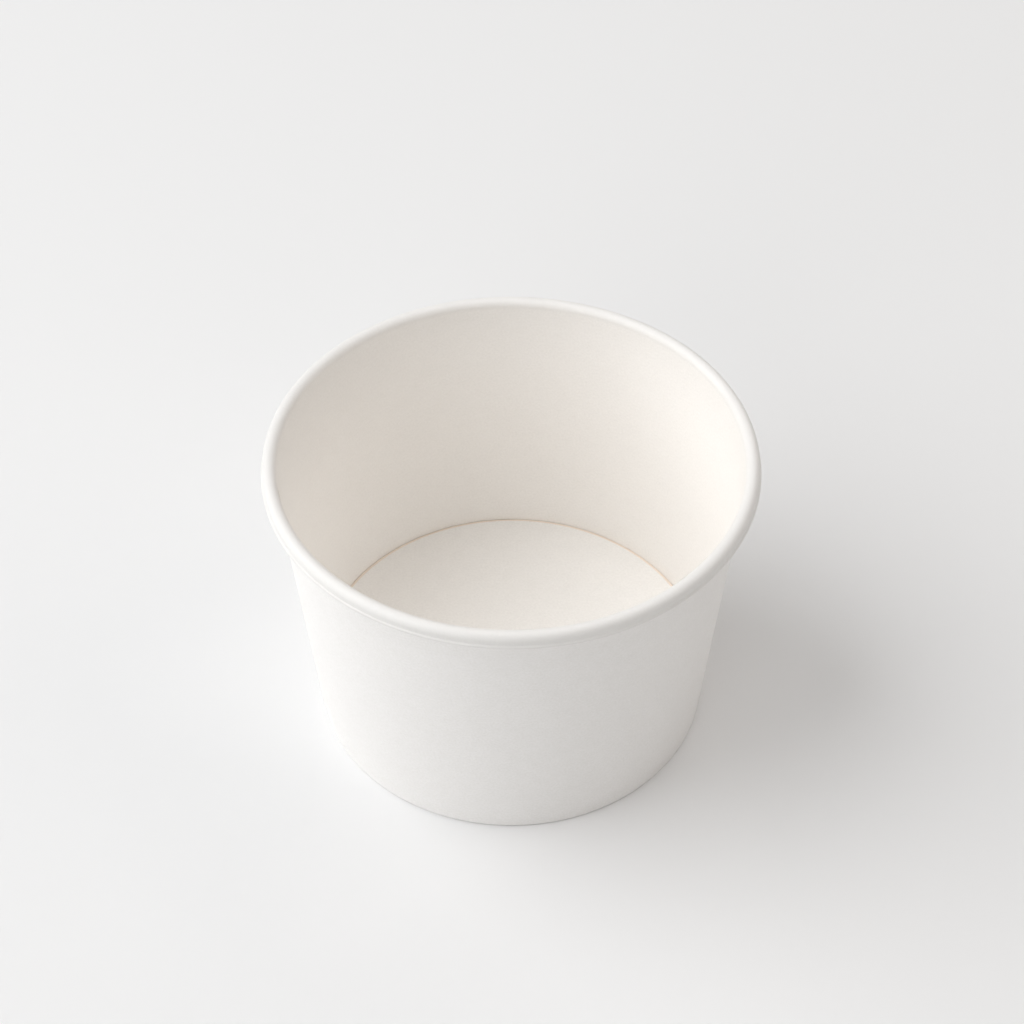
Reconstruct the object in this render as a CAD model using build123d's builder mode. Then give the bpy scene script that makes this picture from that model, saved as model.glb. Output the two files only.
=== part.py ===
from build123d import *
from math import asin, atan2, cos, degrees, radians, sin
import os

# Short wide paper cup for ice cream, made from two pieces of white coated board:
# a sidewall wrapped from one fan-shaped blank, and a bottom disc with a turned-down skirt.
# Millimetres, +Z up, origin on the table at the centre of the foot.

# Overall sizes
rim_diameter = 90.0
cup_height = 61.0
base_diameter = 74.0
floor_height = 7.3  # table to the upper face of the bottom disc

# Boards, and the film of coating that seals one ply to the next
wall_board = 0.35
disc_board = 0.35
seal_film = 0.02

# Rolled rim: the board curls outward and down, then back up inside itself
roll_width = 2.65
roll_straight = 0.65  # upright stretch on the outside of the roll
roll_gap = 0.1  # space left between the wall and the end of the roll
tuck_length = 0.7  # how far the raw edge rises beside the wall

# Foot: the wall folds in and up round the skirt of the disc
hem_rise = 5.6  # length of the folded ply above the fold
skirt_gap = 0.35  # from the middle of the fold to the raw edge of the skirt
disc_bend = 0.55  # outer radius where the disc turns down

# Side seam: the two straight edges of the blank lap and are sealed
lap_width = 7.0
lap_ramp = 2.0  # length over which the outer ply comes down past the inner raw edge
lap_step = 0.22  # height of the inner raw edge once it is pressed
lap_trim = 0.3  # how far the outer ply of the hem stops short of the inner one
lap_azimuth = 185.5  # middle of the lap, counterclockwise from +X

# The wall's outer face rises from the base diameter and runs tangent to the inside of the roll,
# which gives its lean. Headings are in degrees, clockwise from straight up, and x is the radius
roll_radius = (roll_width - wall_board) / 2
roll_centre = Vector(rim_diameter / 2 - roll_width / 2, cup_height - roll_width / 2)
base_to_roll = roll_centre - Vector(base_diameter / 2, 0)
tangent_angle = asin((roll_radius - wall_board / 2) / base_to_roll.length)
lean = degrees(atan2(base_to_roll.X, base_to_roll.Y) - tangent_angle)


def along(heading):
    """Unit vector along a heading."""
    return Vector(sin(radians(heading)), cos(radians(heading)))


def right_of(heading):
    """Unit vector to the right of a heading."""
    return along(heading + 90)


def bend(centre, radius, headings):
    """Corners of a line of short flats that bends round a circle, through each heading in turn.

    The flats touch the circle. It lies to their right, or to their left if the radius is negative.
    """
    return [
        centre - right_of((before + after) / 2) * (radius / cos(radians(after - before) / 2))
        for before, after in zip(headings, headings[1:])
    ]


# Second turn of the roll: under, and back up beside the wall
turn_pitch = wall_board + roll_gap
under_radius = roll_radius + (roll_straight * sin(radians(lean)) - turn_pitch) / (1 + cos(radians(lean)))
under_centre = roll_centre + Vector(roll_radius - under_radius, -roll_straight)
over_headings = [lean, 30, 60, 90, 120, 150, 180]
under_headings = [180, 210, 240, 270, 300, 330, 360 + lean]

# Middle of the fold, which is also the foot of the skirt's centre line
fold_radius = (wall_board + disc_board) / 2 + seal_film
fold_depth = fold_radius + wall_board / 2
fold_along = (fold_depth - fold_depth * sin(radians(lean))) / cos(radians(lean))
fold_centre = Vector(base_diameter / 2, 0) + along(lean) * fold_along - right_of(lean) * fold_depth
fold_headings = [180 + lean, 135, 90, 45, lean]

# Raw edges of the lap as azimuths, from its width at the middle of the wall
lap_half = degrees(lap_width / (base_diameter / 2 + rim_diameter / 2))
outer_edge = lap_azimuth - lap_half
inner_edge = lap_azimuth + lap_half
ramp_sag = lap_ramp**2 / rim_diameter  # fall of the round wall from its tangent over the ramp


def skirt_point(height):
    """Point at a height on the line that runs up the middle of the skirt."""
    return fold_centre + along(lean) * ((height - fold_centre.Y) / cos(radians(lean)))


def folded_ply(radius, rise):
    """Corners of a ply folded round the skirt at a radius, from its raw edge down and round the fold."""
    hem_foot = fold_centre - right_of(lean) * radius
    return [hem_foot + along(lean) * rise, *bend(fold_centre, -radius, fold_headings)]


def wall_point(radius, height):
    """Point at a height on a ply that runs up the wall at a radius from the middle of the fold."""
    return skirt_point(height + radius * sin(radians(lean))) + right_of(lean) * radius


def seam_plane(azimuth):
    """Upright plane through the axis of the cup: x runs outward at the azimuth, y runs up."""
    outward = Vector(cos(radians(azimuth)), sin(radians(azimuth)), 0)
    return Plane(origin=(0, 0, 0), x_dir=outward, z_dir=outward.cross(Vector(0, 0, 1)))


def across(path):
    """Plane at the start of a path in the plane of the inner raw edge: x runs round the cup from it."""
    return Plane(origin=path @ 0, x_dir=-seam_plane(inner_edge).z_dir, z_dir=path % 0)


# Outer ply of the lap: from the hem round the fold and up into the roll, half sunk in the wall
# so that the two are one board
lap_rise = hem_rise - lap_trim
lap_head = under_centre.Y - wall_board
with BuildLine() as lap_face:
    Polyline(*folded_ply(fold_depth, lap_rise), wall_point(fold_depth, lap_head))
ramp_path = seam_plane(inner_edge) * lap_face.line
with BuildPart() as lap:
    with BuildSketch(seam_plane(outer_edge)):
        with BuildLine():
            lap_middle = fold_depth + wall_board / 4
            Polyline(*folded_ply(lap_middle, lap_rise), wall_point(lap_middle, lap_head))
        trace(line_width=wall_board * 1.5)
    revolve(axis=Axis.Z, revolution_arc=2 * lap_half)

    # Past the inner raw edge the ply comes down onto the wall
    with BuildSketch(across(ramp_path)):
        with BuildLine():
            Polyline(
                (0, wall_board / 2), (0, -wall_board), (lap_ramp, ramp_sag), (lap_ramp, wall_board / 2), close=True
            )
        make_face()
    sweep(path=ramp_path, transition=Transition.RIGHT)

    # Under the foot the lap is pressed flush with the fold
    Cylinder(
        rim_diameter / 2, rim_diameter / 2, align=(Align.CENTER, Align.CENTER, Align.MAX), mode=Mode.SUBTRACT
    )

# Step that the inner raw edge leaves inside the cup and on over the roll
with BuildLine() as inner_face:
    Polyline(
        skirt_point(floor_height) + right_of(lean) * (disc_board / 2 + seal_film),
        *bend(roll_centre, roll_width / 2, over_headings),
        *bend(under_centre, under_radius + wall_board / 2, under_headings[:4]),
    )
step_path = seam_plane(inner_edge) * inner_face.line
with BuildPart() as raw_edge_step:
    with BuildSketch(across(step_path)):
        with BuildLine():
            Polyline((0, wall_board), (0, -lap_step), (lap_ramp, ramp_sag), (lap_ramp, wall_board), close=True)
        make_face()
    sweep(path=step_path, transition=Transition.RIGHT)

# Sidewall: one strip of board, from the raw edge inside the foot to the raw edge inside the roll
with BuildPart() as sidewall:
    with BuildSketch(Plane.XZ):
        with BuildLine():
            Polyline(
                *folded_ply(fold_radius, hem_rise),
                *bend(roll_centre, roll_radius, over_headings),
                *bend(under_centre, under_radius, under_headings),
                under_centre - right_of(lean) * under_radius + along(lean) * tuck_length,
            )
        trace(line_width=wall_board)
    revolve(axis=Axis.Z)
    add(lap.part)
    add(raw_edge_step.part, mode=Mode.SUBTRACT)

# Bottom disc: flat board with its edge turned down between the plies of the foot
bend_radius = disc_bend - disc_board / 2
disc_headings = [90, 120, 150, 180 + lean]
disc_middle = floor_height - disc_board / 2
bend_height = disc_middle - bend_radius
bend_centre = skirt_point(bend_height - bend_radius * sin(radians(lean))) - right_of(lean) * bend_radius
with BuildPart() as bottom_disc:
    with BuildSketch(Plane.XZ):
        with BuildLine():
            Polyline(
                (0, disc_middle),
                *bend(bend_centre, bend_radius, disc_headings),
                fold_centre + along(lean) * skirt_gap,
            )
        trace(line_width=disc_board)
    revolve(axis=Axis.Z)

os.makedirs("parts", exist_ok=True)
sidewall.part.label = "sidewall"
bottom_disc.part.label = "bottom_disc"
export_step(sidewall.part, "parts/sidewall.step")
export_step(bottom_disc.part, "parts/bottom_disc.step")
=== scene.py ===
from math import asin, atan2, cos, degrees, hypot, inf, pi, radians, sin

import bpy
import numpy as np
from mathutils import Matrix, Vector


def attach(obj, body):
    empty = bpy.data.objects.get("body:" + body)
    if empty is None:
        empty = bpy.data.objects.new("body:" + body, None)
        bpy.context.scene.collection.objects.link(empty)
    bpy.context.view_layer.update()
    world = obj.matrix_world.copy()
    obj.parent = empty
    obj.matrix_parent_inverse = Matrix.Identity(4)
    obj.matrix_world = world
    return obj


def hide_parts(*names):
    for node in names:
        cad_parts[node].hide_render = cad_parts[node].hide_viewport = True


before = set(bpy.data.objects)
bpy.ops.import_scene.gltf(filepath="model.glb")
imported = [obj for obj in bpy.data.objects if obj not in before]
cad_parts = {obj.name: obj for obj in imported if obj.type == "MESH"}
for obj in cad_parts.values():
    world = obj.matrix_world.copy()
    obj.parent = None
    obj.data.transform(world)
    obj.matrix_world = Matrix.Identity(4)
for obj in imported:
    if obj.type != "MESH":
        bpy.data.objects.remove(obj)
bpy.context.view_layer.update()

# ---- Sidewall ----
# One fan-shaped blank of bleached paperboard, coated with a thin film. It is wrapped to a taper and lapped.
# Its top is curled out and down into the hollow rim, and its foot is folded in and up round the skirt of the
# bottom disc.

# Sizes in millimetres, as in the CAD apart from the lower edge of the roll, which follows the photograph
metre = 1000
rim_diameter = 90.0
cup_height = 61.0
base_diameter = 74.0
wall_board = 0.35
disc_board = 0.35
seal_film = 0.02
roll_width = 2.65
roll_straight = 0.62  # upright stretch on the outside of the roll
roll_lip = 0.2  # flare under it, where the curl leaves the die
lip_turn = radians(37)
lip_radius = 0.2
corner_radius = 0.27  # at the middle of the board, where the roll turns under
tuck_radius = 0.5  # where it turns up again beside the wall
roll_gap = 0.1  # space between the wall and the end of the roll
tuck_length = 0.5  # how far the raw edge rises beside the wall
hem_rise = 5.6  # length of the folded ply above the fold

# The middle of the strip starts at the raw edge inside the foot, and ends at the raw edge inside the roll
roll_radius = (roll_width - wall_board) / 2
roll_centre = (rim_diameter / 2 - roll_width / 2, cup_height - roll_width / 2)
base_to_roll = (roll_centre[0] - base_diameter / 2, roll_centre[1])
lean = atan2(*base_to_roll) - asin((roll_radius - wall_board / 2) / hypot(*base_to_roll))
fold_radius = (wall_board + disc_board) / 2 + seal_film
fold_depth = fold_radius + wall_board / 2
fold_along = fold_depth * (1 - sin(lean)) / cos(lean)
fold_centre = (
    base_diameter / 2 + sin(lean) * fold_along - cos(lean) * fold_depth,
    cos(lean) * fold_along + sin(lean) * fold_depth,
)
wall_length = (roll_centre[1] - fold_centre[1] + (roll_radius + fold_radius) * sin(lean)) / cos(lean)


def walk(start, runs, distance):
    """Radius, height and heading at a distance along a line of runs.

    Headings turn clockwise from straight up.
    """
    across, up, heading = start
    for length, turn in runs:
        step = min(max(distance, 0), length)
        swing = turn * step
        if turn:
            across += (cos(heading) - cos(heading + swing)) / turn
            up += (sin(heading + swing) - sin(heading)) / turn
        else:
            across += sin(heading) * step
            up += cos(heading) * step
        heading += swing
        distance -= length
    return across, up, heading


# Runs of the strip: each a length, and how fast it turns to the right, in radians a millimetre
strip_start = (
    fold_centre[0] - cos(lean) * fold_radius + sin(lean) * hem_rise,
    fold_centre[1] + sin(lean) * fold_radius + cos(lean) * hem_rise,
    lean + pi,
)
strip_runs = [
    (hem_rise, 0),
    (pi * fold_radius, -1 / fold_radius),
    (wall_length, 0),
    ((pi - lean) * roll_radius, 1 / roll_radius),
    (roll_straight, 0),
    (lip_turn * lip_radius, -1 / lip_radius),
    (roll_lip, 0),
    ((pi / 2 + lip_turn) * corner_radius, 1 / corner_radius),
]
bottom_radius, bottom_height, _ = walk(strip_start, strip_runs, inf)
wall_at_bottom = (
    fold_centre[0] + fold_radius / cos(lean) + (bottom_height - fold_centre[1]) * sin(lean) / cos(lean)
)
strip_runs += [
    (bottom_radius - tuck_radius - roll_gap - wall_board - wall_at_bottom, 0),
    ((pi / 2 + lean) * tuck_radius, 1 / tuck_radius),
    (tuck_length, 0),
]
(
    hem_end, fold_end, wall_end, over_end, straight_end, flare_end,
    lip_end, corner_end, flat_end, under_end, strip_end,
) = np.cumsum([length for length, turn in strip_runs])


def places(*stretches):
    """Distances along a strip from (first, last, steps), each starting where the one before it ends."""
    parts = [np.linspace(first, last, steps, endpoint=False) for first, last, steps in stretches]
    return np.append(np.concatenate(parts), stretches[-1][1])


# Side seam, as azimuths in degrees counterclockwise from +X. The photograph shows no seam, so it is on the
# far left of the cup, out of the camera's sight
lap_azimuth = 185.5
lap_width = 7.0
lap_ramp = 2.0  # length over which the outer ply comes down past the inner raw edge
lap_step = 0.22  # height of the inner raw edge once it is pressed
roll_step = 0.02  # what is left of it over the roll, where the curl irons it down
cut_width = 0.05  # width of a raw edge seen square on
middle_radius = (rim_diameter + base_diameter) / 4
outer_edge = lap_azimuth - degrees(lap_width / 2 / middle_radius)
inner_edge = lap_azimuth + degrees(lap_width / 2 / middle_radius)
ramp_end = inner_edge + degrees(lap_ramp / middle_radius)
cut_turn = degrees(cut_width / middle_radius)

# Columns round the cup, finer where the outer ply comes down
ramp_columns = np.linspace(inner_edge, ramp_end, 12)
seam_columns = [outer_edge - cut_turn, outer_edge, inner_edge - cut_turn, *ramp_columns]
column_gap = 0.5  # degrees
round_columns = [
    turn for turn in np.arange(0, 360, column_gap)
    if min(abs(turn - seam) for seam in seam_columns) > column_gap / 2
]
wall_columns = np.array(sorted([*round_columns, *seam_columns]))


def ease(share):
    """Runs smoothly from 0 to 1."""
    share = np.clip(share, 0, 1)
    return share * share * (3 - 2 * share)


def outer_ply(turn):
    """Share of the outer ply's board that lies over the inner one at an azimuth."""
    if turn <= inner_edge:
        return float(np.interp(turn, [outer_edge - cut_turn, outer_edge], [0, 1]))
    return float(1 - ease((turn - inner_edge) / (ramp_end - inner_edge)))


def inner_step(turn):
    """Share of the step that the inner raw edge leaves inside the cup at an azimuth."""
    if turn <= inner_edge:
        return float(np.interp(turn, [inner_edge - cut_turn, inner_edge], [0, 1]))
    return float(1 - ease((turn - inner_edge) / (ramp_end - inner_edge)))


# A rolled rim is never quite round or level: these are its waves, as (how many round the cup, start, height)
level_waves = [(2, 0.7, 0.05), (3, 2.1, 0.035), (5, 4.0, 0.02), (9, 1.3, 0.008)]
round_waves = [(2, 2.6, 0.05), (3, 0.4, 0.03), (4, 5.2, 0.02), (7, 3.3, 0.008)]
hem_ribs = 150  # the hem is pressed against the skirt with a ribbed wheel
hem_rib_depth = 0.05


def waves(turn, table):
    """Sum of a table of waves at an azimuth."""
    return sum(height * sin(count * radians(turn) + start) for count, start, height in table)


def turned(outline, columns):
    """Corners of a closed outline carried round the axis, in metres.

    outline gives its radii and heights at an azimuth.
    """
    rings = []
    for turn in columns:
        radii, heights = outline(turn)
        angle = radians(turn)
        rings.append(np.stack([radii * cos(angle), radii * sin(angle), heights], axis=1))
    return np.concatenate(rings) / metre


# Distances of the corners on each face of the strip. The left face is the inside of the cup and the outside
# of the roll, and the right face is the outside of the cup and the bared side of the hem
left_places = places(
    (0, hem_end, 2), (hem_end, fold_end, 5), (fold_end, wall_end, 12), (wall_end, over_end, 22),
    (over_end, straight_end, 2), (straight_end, flare_end, 3), (flare_end, lip_end, 1),
    (lip_end, corner_end, 10), (corner_end, flat_end, 2), (flat_end, under_end, 5), (under_end, strip_end, 1),
)
right_places = places(
    (0, hem_end, 7), (hem_end, fold_end, 14), (fold_end, wall_end, 12), (wall_end, over_end, 7),
    (over_end, lip_end, 2), (lip_end, corner_end, 4), (corner_end, flat_end, 1),
    (flat_end, under_end, 4), (under_end, strip_end, 1),
)
left_line = np.array([walk(strip_start, strip_runs, place) for place in left_places])
right_line = np.array([walk(strip_start, strip_runs, place) for place in right_places])
lap_short = 1.0  # the outer ply ends this far before the board starts to curl, hidden behind the roll
lap_head = wall_end - lap_short
on_lap = right_places <= lap_head
on_hem = right_places < hem_end
hem_share = np.sin(pi * np.clip(right_places / hem_end, 0, 1)) ** 0.5  # the ribs die away at the hem's ends
step_height = np.interp(
    left_places, [fold_end, fold_end + 1, wall_end - 3, wall_end], [0, lap_step, lap_step, roll_step]
)


def wall_outline(turn):
    """Radii and heights round the strip at an azimuth: up its left face and back down its right face."""
    left = wall_board / 2 - step_height * inner_step(turn)
    right = wall_board / 2 + wall_board * outer_ply(turn) * on_lap
    right = right - hem_rib_depth * (0.5 - 0.5 * cos(hem_ribs * radians(turn))) * hem_share * on_hem
    radii = [
        left_line[:, 0] - np.cos(left_line[:, 2]) * left,
        (right_line[:, 0] + np.cos(right_line[:, 2]) * right)[::-1],
    ]
    heights = [
        left_line[:, 1] + np.sin(left_line[:, 2]) * left,
        (right_line[:, 1] - np.sin(right_line[:, 2]) * right)[::-1],
    ]
    radii, heights = np.concatenate(radii), np.concatenate(heights)
    rise = np.clip(heights / cup_height, 0, 1) ** 2
    radii = radii + waves(turn, round_waves) * rise
    heights = heights + waves(turn, level_waves) * rise
    return radii, np.maximum(heights, 0)  # the foot is pressed flat on the table


def ring_faces(across, columns):
    """Faces between the columns of a closed outline, whose corners follow it from its first to its last."""
    step = np.arange(across)
    here = np.arange(columns)[:, None] * across
    there = (np.arange(columns)[:, None] + 1) % columns * across
    after = (step + 1) % across
    return np.stack([here + step, here + after, there + after, there + step], axis=2).reshape(-1, 4)


sharp_angle = 40  # degrees: the board is smooth over its bends, and sharp at its raw edges


def board_piece(name, corners, faces, blank, finish):
    """A mesh of board with its flat blank as a map. finish says which material each face has."""
    mesh = bpy.data.meshes.new(name)
    mesh.from_pydata(corners.tolist(), [], faces)
    mesh.uv_layers.new(name="blank").uv.foreach_set("vector", np.asarray(blank, np.float32).ravel())
    mesh.polygons.foreach_set("material_index", np.asarray(finish, np.int32))
    mesh.shade_smooth()
    mesh.set_sharp_from_angle(angle=radians(sharp_angle))
    mesh.update()
    piece = bpy.data.objects.new(name, mesh)
    bpy.context.scene.collection.objects.link(piece)
    return piece


wall_corners = turned(wall_outline, wall_columns)
left_count, right_count = len(left_places), len(right_places)
wall_across = left_count + right_count
wall_faces = ring_faces(wall_across, len(wall_columns))

# Map of the blank: an arc of a flat fan, in metres. Its raw edges meet at the seam
fan_radius = base_diameter / 2 / sin(lean)
strip_places = np.concatenate([left_places, right_places[::-1]])
fan_out = fan_radius + strip_places - fold_end
column_turns = np.append(wall_columns, wall_columns[0] + 360)
fan_turn = np.radians(column_turns - 180) * sin(lean)
step_index = np.arange(wall_across)
next_index = (step_index + 1) % wall_across
column_index = np.arange(len(wall_columns))[:, None]


def fan_points(column, step):
    """Places on the flat blank, in metres, of corners given by column and by step round the outline."""
    out, swing = fan_out[step], fan_turn[column]
    return np.stack([out * np.sin(swing), out * np.cos(swing)], axis=-1) / metre


wall_blank = np.stack(
    [
        fan_points(column_index, step_index[None]),
        fan_points(column_index, next_index[None]),
        fan_points(column_index + 1, next_index[None]),
        fan_points(column_index + 1, step_index[None]),
    ],
    axis=2,
)

# Second map: how far round the rim, and how far along the strip, in metres
round_map = np.zeros(wall_blank.shape)
round_map[:, :, [0, 3], 1] = strip_places[None, :, None]
round_map[:, :, [1, 2], 1] = strip_places[next_index][None, :, None]
round_map[:, :, 0:2, 0] = (np.radians(column_turns[:-1]) * rim_diameter / 2)[:, None, None]
round_map[:, :, 2:4, 0] = (np.radians(column_turns[1:]) * rim_diameter / 2)[:, None, None]
round_map /= metre

# Raw edges: the two ends of the strip, and the steps of the lap
outer_cut = np.isclose(wall_columns, outer_edge - cut_turn)
inner_cut = np.isclose(wall_columns, inner_edge - cut_turn)
wall_finish = np.zeros((len(wall_columns), wall_across), int)
wall_finish[:, :left_count] = 2
wall_finish[:, left_count - 1] = 1
wall_finish[:, -1] = 1
seen_wall = (strip_places > fold_end + 1) & (strip_places < wall_end - 2) & (step_index < left_count)
seen_back = (step_index >= left_count) & (strip_places <= lap_head)
wall_finish[np.ix_(inner_cut, seen_wall)] = 1
wall_finish[np.ix_(outer_cut, seen_back)] = 1

sidewall = board_piece("cup_sidewall", wall_corners, wall_faces.tolist(), wall_blank, wall_finish.ravel())
sidewall.data.uv_layers.new(name="round").uv.foreach_set("vector", round_map.astype(np.float32).ravel())


def linear(colour):
    """A linear colour from an sRGB hex one."""
    parts = [int(colour[at:at + 2], 16) / 255 for at in (1, 3, 5)]
    return (*(part / 12.92 if part <= 0.04045 else ((part + 0.055) / 1.055) ** 2.4 for part in parts), 1)


def add(material, kind, settings, inputs):
    """Adds a node to a material with its settings, and gives each input its value or its link."""
    tree = material.node_tree
    node = tree.nodes.new("ShaderNode" + kind)
    for key, value in settings.items():
        setattr(node, key, value)
    for key, value in inputs.items():
        if isinstance(value, bpy.types.NodeSocket):
            tree.links.new(value, node.inputs[key])
        else:
            node.inputs[key].default_value = value
    return node


def blank_material(name):
    """An empty material and its output node."""
    material = bpy.data.materials.new(name)
    material.use_nodes = True
    material.node_tree.nodes.clear()
    return material, add(material, "OutputMaterial", {}, {})


# Marks in the board, in metres. Flocks are clumps of fibre, 1 to 3 mm across. The mark of the felt is 0.3 mm
# on real board, and is drawn coarser so that it shows. The pleats on the roll come from the curling tool's pull
flock_size, flock_depth = 0.0025, 0.000015
flock_share = 0.3  # how much the flocks count in the tone beside the felt mark
felt_size, felt_depth = 0.00045, 0.00004
pleat_width, pleat_length, pleat_depth = 0.0007, 0.012, 0.00006
roll_start = (wall_end - 0.5) / metre  # the finish of the roll fades in from here
roll_full = (wall_end + 1.5) / metre  # to here along the strip


def bleached_board(name, colour, pale, smooth, rough, roll_shade_colour=None):
    """Bleached paperboard, calendered flat, with faint fibre flocks and a felt mark under an even sheen.

    Where it is curled it takes roll_shade_colour, a darker tone that is painted shade, and has fine pleats
    along the strip.
    """
    board, output = blank_material(name)
    blank = add(board, "UVMap", {"uv_map": "blank"}, {}).outputs["UV"]
    flock = add(board, "TexNoise", {}, {
        "Vector": blank, "Scale": 1 / flock_size, "Detail": 3.0, "Roughness": 0.6,
    })
    felt = add(board, "TexNoise", {}, {
        "Vector": blank, "Scale": 1 / felt_size, "Detail": 2.0, "Roughness": 0.55,
    })
    both = add(board, "Math", {"operation": "MULTIPLY_ADD"}, {
        0: flock.outputs["Fac"], 1: flock_share, 2: felt.outputs["Fac"],
    })
    shade = add(board, "MapRange", {}, {"Value": both.outputs["Value"], "From Min": 0.45, "From Max": 0.85})
    tone = add(board, "Mix", {"data_type": "RGBA"}, {"Factor": shade.outputs["Result"]})
    tone.inputs["A"].default_value = linear(colour)
    tone.inputs["B"].default_value = linear(pale)
    gloss = add(board, "MapRange", {}, {
        "Value": felt.outputs["Fac"], "From Min": 0.3, "From Max": 0.7, "To Min": smooth, "To Max": rough,
    })
    low = add(board, "Bump", {}, {"Height": flock.outputs["Fac"], "Strength": 1.0, "Distance": flock_depth})
    fine = add(board, "Bump", {}, {
        "Height": felt.outputs["Fac"],
        "Strength": 1.0,
        "Distance": felt_depth,
        "Normal": low.outputs["Normal"],
    })
    if roll_shade_colour:
        place = add(board, "UVMap", {"uv_map": "round"}, {}).outputs["UV"]
        drawn = add(board, "Mapping", {}, {"Vector": place, "Scale": (1 / pleat_width, 1 / pleat_length, 1)})
        pleats = add(board, "TexNoise", {}, {"Vector": drawn.outputs["Vector"], "Scale": 1.0, "Detail": 1.0})
        along = add(board, "SeparateXYZ", {}, {"Vector": place})
        on_roll = add(board, "MapRange", {}, {
            "Value": along.outputs["Y"], "From Min": roll_start, "From Max": roll_full,
        })
        depth = add(board, "Math", {"operation": "MULTIPLY"}, {
            0: pleats.outputs["Fac"], 1: on_roll.outputs["Result"],
        })
        fine = add(board, "Bump", {}, {
            "Height": depth.outputs["Value"],
            "Strength": 1.0,
            "Distance": pleat_depth,
            "Normal": fine.outputs["Normal"],
        })
        # The roll is mixed toward a darker tone: painted shade that dims the lit front of the roll
        tone = add(board, "Mix", {"data_type": "RGBA"}, {
            "Factor": on_roll.outputs["Result"], "A": tone.outputs["Result"],
        })
        tone.inputs["B"].default_value = linear(roll_shade_colour)
    film = add(board, "BsdfPrincipled", {}, {
        "Base Color": tone.outputs["Result"],
        "Roughness": gloss.outputs["Result"],
        "Normal": fine.outputs["Normal"],
        "IOR": 1.5,
    })
    board.node_tree.links.new(film.outputs["BSDF"], output.inputs["Surface"])
    return board


fibre_size, fibre_depth = 0.00015, 0.00003  # cut ends of the fibres, in metres


def cut_edge(name, colour):
    """Raw edge of paperboard where a die has cut it: open fibres with no film, matt and a little warmer."""
    edge, output = blank_material(name)
    place = add(edge, "TexCoord", {}, {}).outputs["Object"]
    fibres = add(edge, "TexNoise", {}, {"Vector": place, "Scale": 1 / fibre_size, "Detail": 2.0})
    ends = add(edge, "MapRange", {}, {"Value": fibres.outputs["Fac"], "To Min": 0.9, "To Max": 1.06})
    tone = add(edge, "HueSaturation", {}, {"Color": linear(colour), "Value": ends.outputs["Result"]})
    bump = add(edge, "Bump", {}, {"Height": fibres.outputs["Fac"], "Strength": 1.0, "Distance": fibre_depth})
    core = add(edge, "BsdfPrincipled", {}, {
        "Base Color": tone.outputs["Color"], "Roughness": 0.9, "Normal": bump.outputs["Normal"], "IOR": 1.5,
    })
    edge.node_tree.links.new(core.outputs["BSDF"], output.inputs["Surface"])
    return edge


# The outside is bare board, matt and neutral. The inside has the film, which is smoother and a little warmer.
# On the roll the board takes a greyer tone, which is painted shade that dims the lit front of the roll
raw_edge = cut_edge("cut_board_edge", "#E9E2D8")
bare_board = bleached_board("bare_outer_board", "#F3F1EE", "#FAF8F6", 0.6, 0.72)
coated_board = bleached_board("film_coated_board", "#F8F5F1", "#FEFBF7", 0.40, 0.52, "#EEECE9")
for finish in (bare_board, raw_edge, coated_board):
    sidewall.data.materials.append(finish)
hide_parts("sidewall")
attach(sidewall, "root")

# ---- Bottom disc ----
# One round blank of the same board. Its edge is turned down as a skirt, which is sealed between the wall and
# the hem, so its flat stands above the table.
floor_height = 7.3
disc_bend = 0.65  # outer radius where the disc turns down
bead_drop = 0.2  # melted film fills the groove beside the wall to this far under the flat
skirt_gap = 0.35  # from the middle of the fold to the raw edge of the skirt
bend_radius = disc_bend - disc_board / 2
disc_middle = floor_height - disc_board / 2
bend_rise = disc_middle - bend_radius - bend_radius * sin(lean)
skirt_top = (
    fold_centre[0] + (bend_rise - fold_centre[1]) * sin(lean) / cos(lean),
    bend_rise,
)
disc_flat = skirt_top[0] - bend_radius * cos(lean)
skirt_length = (bend_rise - fold_centre[1]) / cos(lean) - skirt_gap
disc_runs = [
    (disc_flat, 0),
    ((pi / 2 + lean) * bend_radius, 1 / bend_radius),
    (skirt_length, 0),
]
disc_start = (0, disc_middle, pi / 2)
bend_start, bend_end, skirt_end = np.cumsum([length for length, turn in disc_runs])
hub_radius = 0.6  # innermost ring
disc_places = places((hub_radius, bend_start, 30), (bend_start, bend_end, 8), (bend_end, skirt_end, 4))
disc_line = np.array([walk(disc_start, disc_runs, place) for place in disc_places])
disc_reach = np.concatenate([disc_places, disc_places[::-1]])
disc_columns = np.arange(0, 360, 1.0)  # degrees
disc_waves = [(1, 0.9, 0.02), (2, 3.4, 0.03), (3, 1.9, 0.02)]


def disc_outline(turn):
    """Radii and heights round the disc's section at an azimuth: out over its top and back under it."""
    half = disc_board / 2
    radii = np.concatenate([
        disc_line[:, 0] - np.cos(disc_line[:, 2]) * half,
        (disc_line[:, 0] + np.cos(disc_line[:, 2]) * half)[::-1],
    ])
    heights = np.concatenate([
        disc_line[:, 1] + np.sin(disc_line[:, 2]) * half,
        (disc_line[:, 1] - np.sin(disc_line[:, 2]) * half)[::-1],
    ])
    top = np.arange(len(radii)) < len(disc_places)
    bead = top & (disc_reach < bend_end - 0.01)
    heights = np.where(bead, np.maximum(heights, floor_height - bead_drop), heights)
    share = np.clip(radii / disc_flat, 0, 1)
    heights = heights + waves(turn, disc_waves) * share * (1 - share) * 4 * (heights > disc_middle - 1)
    return radii, heights


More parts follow.
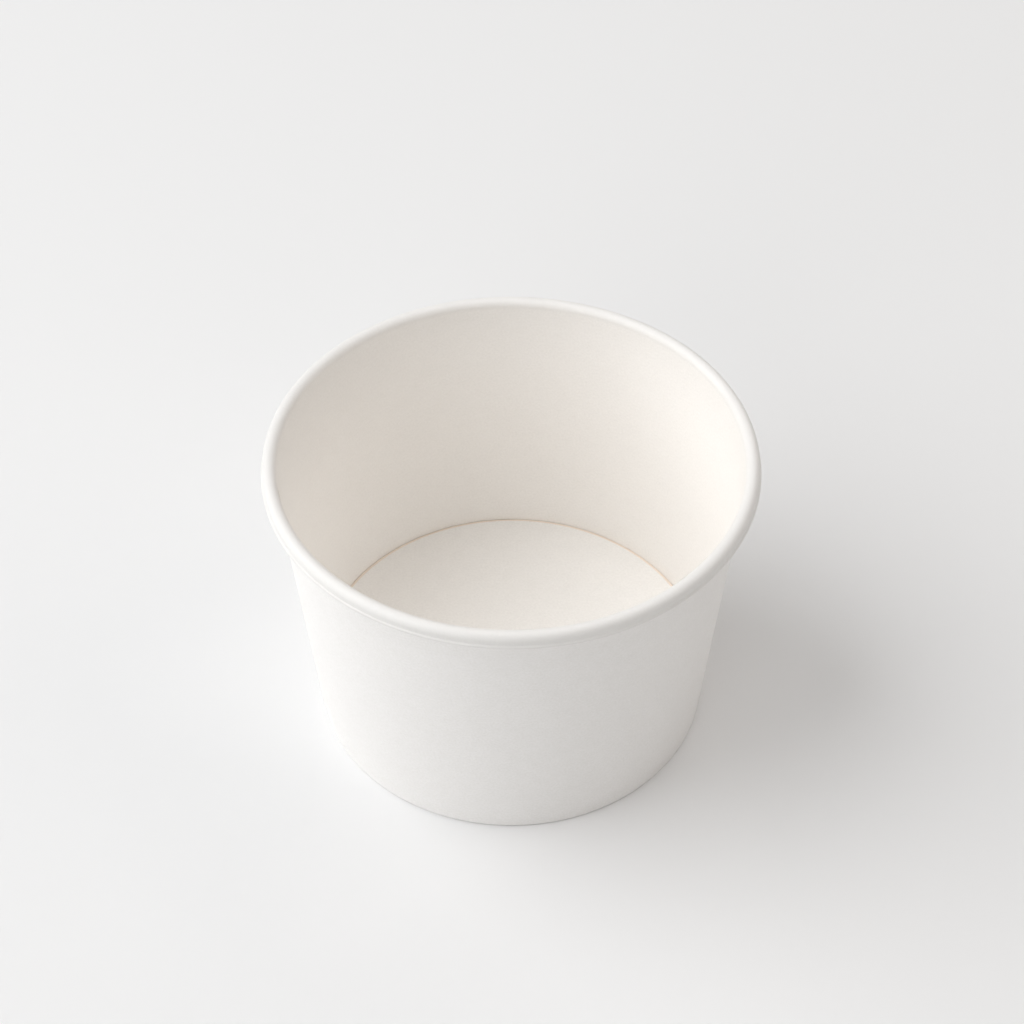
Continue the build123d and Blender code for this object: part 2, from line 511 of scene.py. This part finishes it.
disc_corners = turned(disc_outline, disc_columns)
disc_across = 2 * len(disc_places)
disc_count = len(disc_columns)
disc_faces = ring_faces(disc_across, disc_count).reshape(disc_count, disc_across, 4)
skirt_cut = len(disc_places) - 1
disc_quads = disc_faces[:, :-1].reshape(-1, 4)  # the last faces would be a tube through the middle
disc_step = np.arange(disc_across - 1)
# Faces of the bend take the tan crease material, which is painted shade of the groove beside the wall
on_crease = (disc_step < skirt_cut) & (disc_places[np.minimum(disc_step, skirt_cut)] >= bend_start)
disc_finish = np.tile(np.where(disc_step == skirt_cut, 1, np.where(on_crease, 2, 0)), disc_count)
hubs = len(disc_corners)
disc_corners = np.concatenate([
    disc_corners, [[0, 0, floor_height / metre], [0, 0, (floor_height - disc_board) / metre]],
])
first_ring = np.arange(disc_count) * disc_across
last_ring = first_ring + disc_across - 1
next_column = (np.arange(disc_count) + 1) % disc_count
top_fan = [[hubs, int(here), int(there)] for here, there in zip(first_ring, first_ring[next_column])]
under_fan = [[hubs + 1, int(there), int(here)] for here, there in zip(last_ring, last_ring[next_column])]
disc_all = [*disc_quads.tolist(), *top_fan, *under_fan]
disc_blank = [disc_corners[corner][:2] for face in disc_all for corner in face]
bottom_disc = board_piece(
    "cup_bottom", disc_corners, disc_all, disc_blank, [*disc_finish, *[0] * (2 * disc_count)]
)

# The film on the disc is duller than on the wall. The turned edge takes a tan tone: painted shade of the groove
flat_board = bleached_board("film_coated_disc_board", "#F4F1ED", "#FBF8F4", 0.45, 0.58)
crease_shade_board = bleached_board("crease_painted_shade_board", "#F5E7D8", "#F7EBDF", 0.6, 0.7)
for finish in (flat_board, raw_edge, crease_shade_board):
    bottom_disc.data.materials.append(finish)
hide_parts("bottom_disc")
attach(bottom_disc, "root")

# ---- Table ----
# A seamless sheet of matt white paper, far wider than the cup, which stands on it by its folded foot.
# It takes the soft shadow.
table_size = 3.0
table_drop = 0.00002  # the sheet is this far under the foot, so that the two don't share a plane
table_mesh = bpy.data.meshes.new("table_sheet")
table_mesh.from_pydata(
    [(x * table_size, y * table_size, -table_drop) for x, y in ((-1, -1), (1, -1), (1, 1), (-1, 1))],
    [],
    [(0, 1, 2, 3)],
)
table = bpy.data.objects.new("table_sheet", table_mesh)
bpy.context.scene.collection.objects.link(table)
table_paper, table_output = blank_material("matt_table_paper")
table_surface = add(table_paper, "BsdfPrincipled", {}, {
    "Base Color": linear("#EEEEEE"), "Roughness": 0.8, "IOR": 1.45,
})

# Far from the cup, where no lamp reaches, the camera sees the sheet fade into the pale room
fade_start, fade_end = 0.32, 0.9  # metres from the cup
sheet_place = add(table_paper, "TexCoord", {}, {}).outputs["Object"]
away = add(table_paper, "VectorMath", {"operation": "LENGTH"}, {0: sheet_place})
far_share = add(table_paper, "MapRange", {"interpolation_type": "SMOOTHSTEP"}, {
    "Value": away.outputs["Value"], "From Min": fade_start, "From Max": fade_end,
})
sheet_path = add(table_paper, "LightPath", {}, {})
far_seen = add(table_paper, "Math", {"operation": "MULTIPLY"}, {
    0: far_share.outputs["Result"], 1: sheet_path.outputs["Is Camera Ray"],
})
far_paper = add(table_paper, "Emission", {}, {"Color": linear("#F2F2F2"), "Strength": 1.0})
near_or_far = add(table_paper, "MixShader", {}, {
    0: far_seen.outputs["Value"], 1: table_surface.outputs["BSDF"], 2: far_paper.outputs["Emission"],
})
table_paper.node_tree.links.new(near_or_far.outputs["Shader"], table_output.inputs["Surface"])
table_mesh.materials.append(table_paper)

# ---- Lamps ----
# A very large soft lamp on the left, like a window, lights the cup. Five weak ones stand for the ceiling and
# the walls of a pale room, and keep the shadows soft.


def soft_lamp(name, azimuth, elevation, size, strength, colour="#FFFFFF"):
    """A round lamp that faces the cup. At strength 1 a surface that faces it shows about its own colour."""
    distance = 1.5
    light = bpy.data.lights.new(name, "AREA")
    light.shape = "DISK"
    light.size = size
    light.color = linear(colour)[:3]
    light.energy = strength * pi**2 * (distance**2 + (size / 2)**2)
    lamp = bpy.data.objects.new(name, light)
    way = Vector((
        cos(radians(azimuth)) * cos(radians(elevation)),
        sin(radians(azimuth)) * cos(radians(elevation)),
        sin(radians(elevation)),
    ))
    lamp.location = way * distance
    lamp.rotation_euler = way.to_track_quat("Z", "Y").to_euler()
    bpy.context.scene.collection.objects.link(lamp)


soft_lamp("window_lamp", 180, 42, 1.9, 0.72, "#FDFEFF")
soft_lamp("ceiling_lamp", 90, 85, 2.0, 0.2)
soft_lamp("front_left_lamp", 243, 25, 1.0, 0.16)
soft_lamp("right_lamp", 0, 40, 1.2, 0.18, "#FFF8F2")
soft_lamp("back_right_lamp", 60, 40, 1.2, 0.115, "#FFFBF7")
soft_lamp("front_right_lamp", 300, 25, 1.2, 0.045, "#FFF8F2")

# The room itself is white where it is seen or mirrored, and adds almost no light
world = bpy.data.worlds.new("pale_room")
bpy.context.scene.world = world
world.use_nodes = True
world.node_tree.nodes.clear()
path = add(world, "LightPath", {}, {})
seen_or_mirrored = add(world, "Math", {"operation": "MAXIMUM"}, {
    0: path.outputs["Is Camera Ray"], 1: path.outputs["Is Glossy Ray"],
})
seen = add(world, "Math", {"operation": "MAXIMUM"}, {
    0: seen_or_mirrored.outputs["Value"], 1: path.outputs["Is Transmission Ray"],
})
room_light = add(world, "MapRange", {}, {"Value": seen.outputs["Value"], "To Min": 0.02, "To Max": 1.0})
room = add(world, "Background", {}, {"Color": linear("#F2F2F2"), "Strength": room_light.outputs["Result"]})
add(world, "OutputWorld", {}, {"Surface": room.outputs["Background"]})

# ---- Camera ----
# It looks down on the cup from the front, with a long lens. Its place and angles are those at which the rim
# and the foot of the cup meet their edges in the photograph.
camera_distance = 0.322645
camera_height = 0.365802
camera_pitch = 0.780769  # downwards, in radians
camera_yaw = 0.000444
camera_roll = -0.003320
focal_pixels = 2459.867
frame_pixels = 1024
sensor_width = 36.0

ahead = Vector((
    sin(camera_yaw) * cos(camera_pitch), cos(camera_yaw) * cos(camera_pitch), -sin(camera_pitch),
))
level_right = Vector((cos(camera_yaw), -sin(camera_yaw), 0))
level_up = level_right.cross(ahead)
camera_right = cos(camera_roll) * level_right + sin(camera_roll) * level_up
camera_up = -sin(camera_roll) * level_right + cos(camera_roll) * level_up
lens = bpy.data.cameras.new("camera")
lens.sensor_width = sensor_width
lens.lens = focal_pixels * sensor_width / frame_pixels
lens.clip_start = 0.01
camera = bpy.data.objects.new("camera", lens)
turn = Matrix((camera_right, camera_up, -ahead)).transposed().to_4x4()
camera.matrix_world = Matrix.Translation((0, -camera_distance, camera_height)) @ turn
bpy.context.scene.collection.objects.link(camera)
bpy.context.scene.camera = camera
bpy.context.scene.view_settings.view_transform = "Standard"
